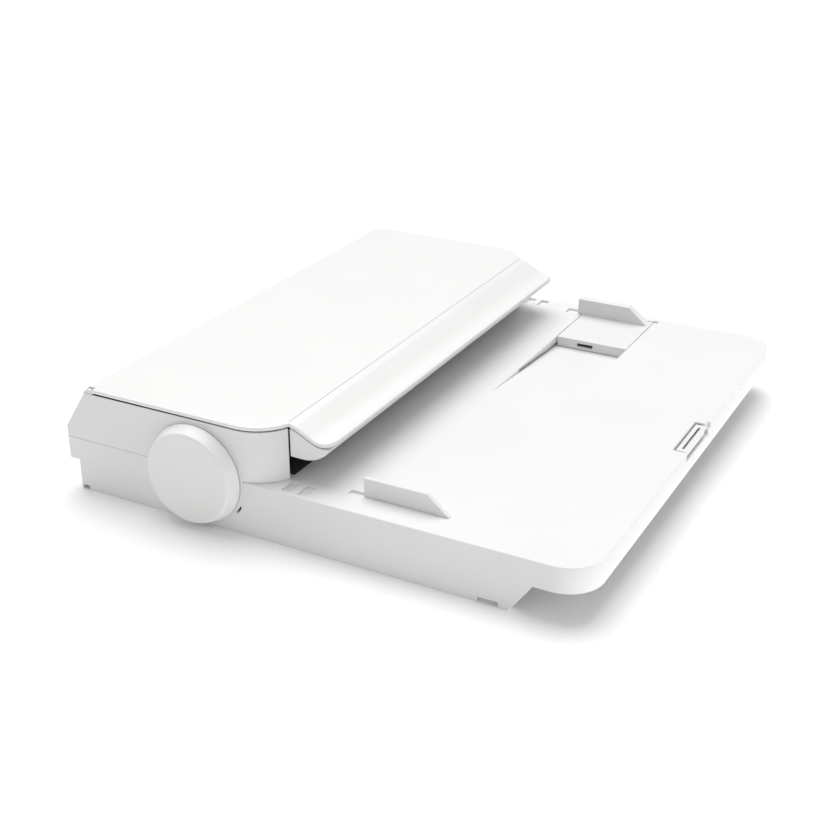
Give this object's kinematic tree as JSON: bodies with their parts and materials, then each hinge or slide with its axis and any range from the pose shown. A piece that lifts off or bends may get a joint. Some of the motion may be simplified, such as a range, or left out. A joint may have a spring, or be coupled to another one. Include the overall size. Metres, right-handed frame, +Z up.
{
  "type": "automatic document feeder",
  "caption": "White document feeder of an inkjet multifunction printer: flat paper tray with side guides, low feeder housing with hinged cover, and a round jam-release knob.",
  "frame": {"origin": "below the middle of the whole unit, on the surface it stands on", "axes": "+X from the feeder housing towards the open end of the paper tray, +Y from the knob side to the back, +Z up"},
  "size_m": [0.235, 0.251, 0.048],
  "materials": {
    "casing_white": "fine spark texture, satin",
    "cover_white": "smooth satin",
    "mechanism_black": "fine matt texture",
    "gear_ivory": "natural acetal",
    "shaft_steel": "ground",
    "motor_steel": "zinc plated",
    "tyre_rubber": "ground rubber",
    "pad_rubber": "cork-filled rubber",
    "board_green": "solder mask"
  },
  "bodies": {
    "base": {"base_tray": "casing_white", "tray_under_cover": "casing_white", "front_paper_guide": "casing_white", "feeder_housing": "casing_white", "hinge_pins": "shaft_steel", "knob_collar": "casing_white", "stop_pin": "shaft_steel", "gear_studs": "shaft_steel", "feed_motor": "motor_steel", "entry_ramp": "mechanism_black", "pad_spring": "shaft_steel", "flag_pin": "shaft_steel", "front_frame": "mechanism_black", "rear_frame": "mechanism_black", "lower_guide": "mechanism_black", "scan_backing_bar": "casing_white", "base_pan": "casing_white", "pan_screws": "shaft_steel", "rubber_feet": "tyre_rubber", "drive_board": "board_green", "board_socket": "casing_white"},
    "cover": {"top_cover": "cover_white", "wing_guide": "casing_white", "cover_turn_guide": "mechanism_black", "cover_hooks": "cover_white"},
    "rear_guide": {"rear_paper_guide": "casing_white"},
    "stop": {"paper_stop": "casing_white"},
    "feed_roller": {"jam_knob": "casing_white", "feed_shaft": "shaft_steel", "feed_tyres": "tyre_rubber", "feed_gear": "gear_ivory"},
    "compound": {"compound_gear": "gear_ivory"},
    "motor_rotor": {"motor_pinion": "gear_ivory", "motor_shaft": "shaft_steel"},
    "idler": {"idler_gear": "gear_ivory"},
    "separation_drive": {"drive_shaft": "shaft_steel", "separation_roller": "tyre_rubber", "drive_gear": "gear_ivory", "drive_pulley": "gear_ivory"},
    "arm": {"pickup_arm": "mechanism_black", "pickup_belt": "tyre_rubber"},
    "pickup": {"pickup_shaft": "shaft_steel", "pickup_roller": "tyre_rubber", "pickup_pulley": "gear_ivory"},
    "pad": {"pad_holder": "mechanism_black", "friction_pad": "pad_rubber"},
    "flag": {"sensor_flag": "mechanism_black"},
    "exit_roller": {"exit_shaft": "shaft_steel", "exit_tyres": "tyre_rubber", "exit_gear": "gear_ivory"},
    "pinch": {"pinch_axle": "shaft_steel", "pinch_wheels": "gear_ivory"}
  },
  "joints": [
    {"name": "cover_hinge", "type": "hinge", "parent": "base", "child": "cover", "pos_m": [-0.1041, 0, 0.0454], "axis": [0, -1, 0], "range_deg": [0, 80]},
    {"name": "rear_guide_slide", "type": "slide", "parent": "base", "child": "rear_guide", "axis": [0, -0.9978, 0.0666], "range_m": [0, 0.072]},
    {"name": "paper_stop_hinge", "type": "hinge", "parent": "base", "child": "stop", "pos_m": [0.1135, 0, 0.0219], "axis": [0, -1, 0], "range_deg": [0, 90]},
    {"name": "feed_spin", "type": "hinge", "parent": "base", "child": "feed_roller", "pos_m": [-0.051, 0, 0.0227], "axis": [0, 1, 0], "continuous": true},
    {"name": "compound_spin", "type": "hinge", "parent": "base", "child": "compound", "pos_m": [-0.0678, 0, 0.0227], "axis": [0, 1, 0], "continuous": true},
    {"name": "motor_spin", "type": "hinge", "parent": "base", "child": "motor_rotor", "pos_m": [-0.0828, 0, 0.0227], "axis": [0, 1, 0], "continuous": true},
    {"name": "idler_spin", "type": "hinge", "parent": "base", "child": "idler", "pos_m": [-0.03186, 0, 0.01691], "axis": [0, 1, 0], "continuous": true},
    {"name": "separation_spin", "type": "hinge", "parent": "base", "child": "separation_drive", "pos_m": [-0.04078, 0, 0.038], "axis": [0, 1, 0], "continuous": true},
    {"name": "pickup_arm_tilt", "type": "hinge", "parent": "base", "child": "arm", "pos_m": [-0.04078, 0, 0.038], "axis": [0, -1, 0], "range_deg": [0, 14]},
    {"name": "pickup_spin", "type": "hinge", "parent": "arm", "child": "pickup", "pos_m": [-0.01979, 0, 0.03335], "axis": [0, 1, 0], "continuous": true},
    {"name": "pad_tilt", "type": "hinge", "parent": "base", "child": "pad", "pos_m": [-0.0263, 0, 0.0266], "axis": [0, -1, 0], "range_deg": [0, 4], "stiffness_Nm_per_rad": 0.03, "springref_deg": -8.59, "deforming": ["pad_spring"]},
    {"name": "flag_tilt", "type": "hinge", "parent": "base", "child": "flag", "pos_m": [-0.023, 0, 0.0186], "axis": [0, -1, 0], "range_deg": [0, 30], "stiffness_Nm_per_rad": 0.0002, "springref_deg": -17.19},
    {"name": "exit_spin", "type": "hinge", "parent": "base", "child": "exit_roller", "pos_m": [-0.01961, 0, 0.0132], "axis": [0, 1, 0], "continuous": true},
    {"name": "pinch_spin", "type": "hinge", "parent": "base", "child": "pinch", "pos_m": [-0.01961, 0, 0.0048], "axis": [0, 1, 0], "continuous": true}
  ],
  "couplings": [
    {"joint": "compound_spin", "follows": "feed_spin", "ratio": -2.5},
    {"joint": "motor_spin", "follows": "feed_spin", "ratio": 10},
    {"joint": "idler_spin", "follows": "feed_spin", "ratio": -1.5},
    {"joint": "separation_spin", "follows": "feed_spin", "ratio": -1.875},
    {"joint": "pickup_spin", "follows": "feed_spin", "ratio": -1.875},
    {"joint": "exit_spin", "follows": "feed_spin", "ratio": 2.5}
  ]
}
